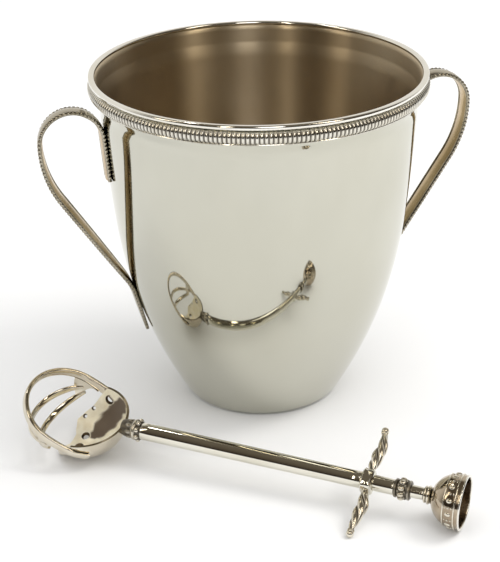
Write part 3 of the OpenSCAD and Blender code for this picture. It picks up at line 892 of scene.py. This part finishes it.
def make_guard(mats):
    """The guard's hub, a rounded block, and its two twisted leaf arms with end knobs."""
    turned_guard = LAID @ Matrix.Rotation(GUARD_TURN, 4, "X")

    def squared(a, r, z):
        if r < 3:
            return r, 0.0
        c, s = abs(math.cos(a)), abs(math.sin(a))
        wide, tall = HUB_R + 0.8, HUB_R - 0.2
        fit = ((s / wide) ** 3.2 + (c / tall) ** 3.2) ** (-1 / 3.2) / HUB_R
        return r * fit, 0.0

    hub = [(2.1, -HUB_HALF), (HUB_R - 2, -HUB_HALF), (HUB_R - 0.7, -HUB_HALF + 0.3), (HUB_R, -HUB_HALF + 1.2),
           (HUB_R - 0.5, -0.9), (HUB_R - 0.5, 0.9), (HUB_R, HUB_HALF - 1.2), (HUB_R - 0.7, HUB_HALF - 0.3),
           (HUB_R - 2, HUB_HALF), (2.1, HUB_HALF)]
    points, faces, _ = on_shaft(hub, 96, squared)
    piece("guard_hub_block", points, faces, [mats["shaft"]], "scoop", ["guard_hub"],
          place=turned_guard, sharp=55)

    root = HUB_R - 0.4
    for node, side in (("far_quillon", 1), ("near_quillon", -1)):
        rows, around = 96, 60
        points, recess = [], []
        for i in range(rows + 1):
            t = i / rows
            reach = root + (GUARD_REACH - 0.8 - root) * t
            girth = 1.15 + 2.15 * math.sin(math.pi * t ** 0.8)
            sway = 1.1 * math.sin(math.pi * t) + (-side) * 0.6 * math.sin(TAU * t)
            for k in range(around):
                a = TAU * k / around
                lobe = abs(math.cos(1.5 * a - side * 9.5 * t))
                r = girth * (0.58 + 0.5 * lobe ** 0.6)
                points.append((sway + r * math.cos(a) * 1.05, side * reach, r * math.sin(a)))
                # Recess between the lobes: painted shade in the twist's grooves.
                recess.append(max(0.0, 1 - 1.6 * lobe) * 0.95)
        faces = grid_faces(rows + 1, around, closed_columns=True)
        faces += [tuple(range(around)), tuple(range(rows * around + around - 1, rows * around - 1, -1))]
        knob = bead((0, side * GUARD_REACH, 0), (KNOB_R, KNOB_R, KNOB_R), rings=14, around=24)
        frill_r, frill_at, beads = 1.25, side * (GUARD_REACH - 1.7), 5
        frill = [bead((frill_r * math.cos(TAU * k / beads), frill_at, frill_r * math.sin(TAU * k / beads)),
                      (1.0, 1.3, 1.0)) for k in range(beads)]
        points, faces, recess = joined([(points, faces, recess), knob] + frill)
        piece(f"{node}_twisted", points, faces, [mats["cast"]], "scoop", [node],
              place=turned_guard, recess=recess, sharp=60)


def make_knop(mats):
    """The knop between the two grips: beads and leaves between end rings."""
    middle = KNOP_FROM + KNOP_L / 2
    core = [(2.2, KNOP_FROM), (4.9, KNOP_FROM), (5.5, KNOP_FROM + 0.5), (5.5, KNOP_FROM + 1.4),
            (4.8, KNOP_FROM + 1.9), (5.3, middle - 1.5), (5.4, middle), (5.3, middle + 1.5),
            (4.8, KNOP_FROM + KNOP_L - 1.9), (5.7, KNOP_FROM + KNOP_L - 1.4),
            (5.7, KNOP_FROM + KNOP_L - 0.5), (5.0, KNOP_FROM + KNOP_L), (2.2, KNOP_FROM + KNOP_L)]
    parts = [on_shaft(core)]
    parts += ring_of_beads(9, middle, 5.15, (2.2, 1.7, 1.5), lean=0.25)
    parts += ring_of_beads(9, middle - 1.9, 5.1, (0.8, 0.8, 0.8), phase=0.5)
    parts += ring_of_beads(9, middle + 1.9, 5.1, (0.8, 0.8, 0.8), phase=0.5)
    points, faces, recess = joined(parts)
    piece("grip_knop_leaves", points, faces, [mats["cast"]], "scoop", ["grip_knop"],
          place=LAID, recess=hollow_between(points, 5.3, 6.3), sharp=50)


def make_cup(mats):
    """The measuring cup with its collar, ornament band and rim wire."""
    low = CUP_COLLAR_FROM
    half_turn = [math.pi * i / 8 for i in range(9)]
    collar = [(2.1, low), (3.9, low)]
    collar += [(4.2 + 0.75 * math.sin(t), low + 0.95 - 0.75 * math.cos(t)) for t in half_turn]
    collar += [(4.3 + 1.15 * math.sin(t), low + 2.85 - 0.95 * math.cos(t)) for t in half_turn]
    collar += [(4.8, low + CUP_COLLAR_L), (2.1, low + CUP_COLLAR_L)]
    points, faces, recess = on_shaft(collar)
    piece("cup_collar_turned", points, faces, [mats["cast"]], "scoop", ["cup_collar"],
          place=LAID, recess=hollow_between(points, 3.8, 4.9), sharp=50)

    outer_r, wall = CUP_R - 0.6, 1.3
    start = math.degrees(math.asin((low + CUP_COLLAR_L - CUP_BALL_X) / outer_r))
    outer = [(r, x + CUP_BALL_X) for r, x in arc((0, 0), outer_r, start, 0, 30)] + [(outer_r, CUP_MOUTH - 1)]
    inner = [(outer_r - wall, CUP_MOUTH - 1)]
    inner += [(r, x + CUP_BALL_X) for r, x in arc((0, 0), outer_r - wall, 0, start + 5, 24)]
    profile = [(2.15, low + CUP_COLLAR_L)] + outer + inner + [(2.15, inner[-1][1])]
    points, faces, _ = on_shaft(profile, 96)
    inside = [1 if i % len(profile) > len(outer) else 0 for i in range(len(faces))]
    piece("measure_cup_bowl", points, faces, [mats["cup"], mats["cup_inside"]], "scoop",
          ["measure_cup"], place=LAID, sharp=50, face_slots=inside)

    def on_cup(x):
        return math.sqrt(outer_r ** 2 - (CUP_BALL_X - x) ** 2) if x < CUP_BALL_X else outer_r

    ridge_at, ridge_r = (CUP_BALL_X - 5.6, CUP_BALL_X + 0.9), 0.42
    ridge_turn = [TAU * k / 10 for k in range(10)]
    parts = [on_shaft([(on_cup(x) + 0.12 + ridge_r * math.cos(t), x + ridge_r * math.sin(t))
                       for t in ridge_turn], 96) for x in ridge_at]
    middle = sum(ridge_at) / 2
    parts += ring_of_beads(12, middle, on_cup(middle) - 0.35, (1.9, 1.5, 1.0), phase=0.5, lean=-0.18)
    parts += ring_of_beads(12, middle, on_cup(middle) - 0.2, (0.8, 0.75, 0.85), phase=0.0, lean=-0.18)
    parts += ring_of_beads(12, middle + 1.9, on_cup(middle + 1.9) - 0.3, (0.55, 0.9, 0.7), phase=0.0)
    parts += ring_of_beads(12, middle - 1.9, on_cup(middle - 1.9) - 0.3, (0.55, 0.9, 0.7), phase=0.0)
    points, faces, recess = joined(parts)
    # Recess where the leaves and beads sink into the cup: painted shade.
    recess = [max(0.0, min(1.0, (on_cup(p[0]) + 0.3 - math.hypot(p[1], p[2])) / 0.45)) for p in points]
    piece("cup_ornament_leaves", points, faces, [mats["cast"]], "scoop",
          ["cup_ornament_band"], place=LAID, recess=recess, sharp=50)

    points, faces, _ = on_shaft(oval((CUP_R - 0.85, CUP_MOUTH - 0.5), 0.85, 0.6, 14), 96)
    piece("cup_rim_bead", points, faces, [mats["bead"]], "scoop", ["cup_rim_wire"],
          place=LAID, sharp=50)


def paint_cad(mats):
    """The CAD nodes that stay: the brass rod and its screw."""
    for node in ("tie_rod", "cup_screw"):
        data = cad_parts[node].data
        data.materials.clear()
        data.materials.append(mats["brass"])


def main():
    make_camera()
    make_world()
    make_lights()
    make_floor()
    mats = make_materials()
    make_shell(mats)
    make_rim(mats)
    make_handle(mats, 1, "right_handle", 2)
    make_handle(mats, -1, "left_handle", 13)
    make_heel(mats)
    make_hoop(mats)
    make_ribs(mats)
    make_collar(mats)
    make_tubes(mats)
    make_guard(mats)
    make_knop(mats)
    make_cup(mats)
    paint_cad(mats)
    bpy.context.scene.view_settings.view_transform = "Standard"


main()
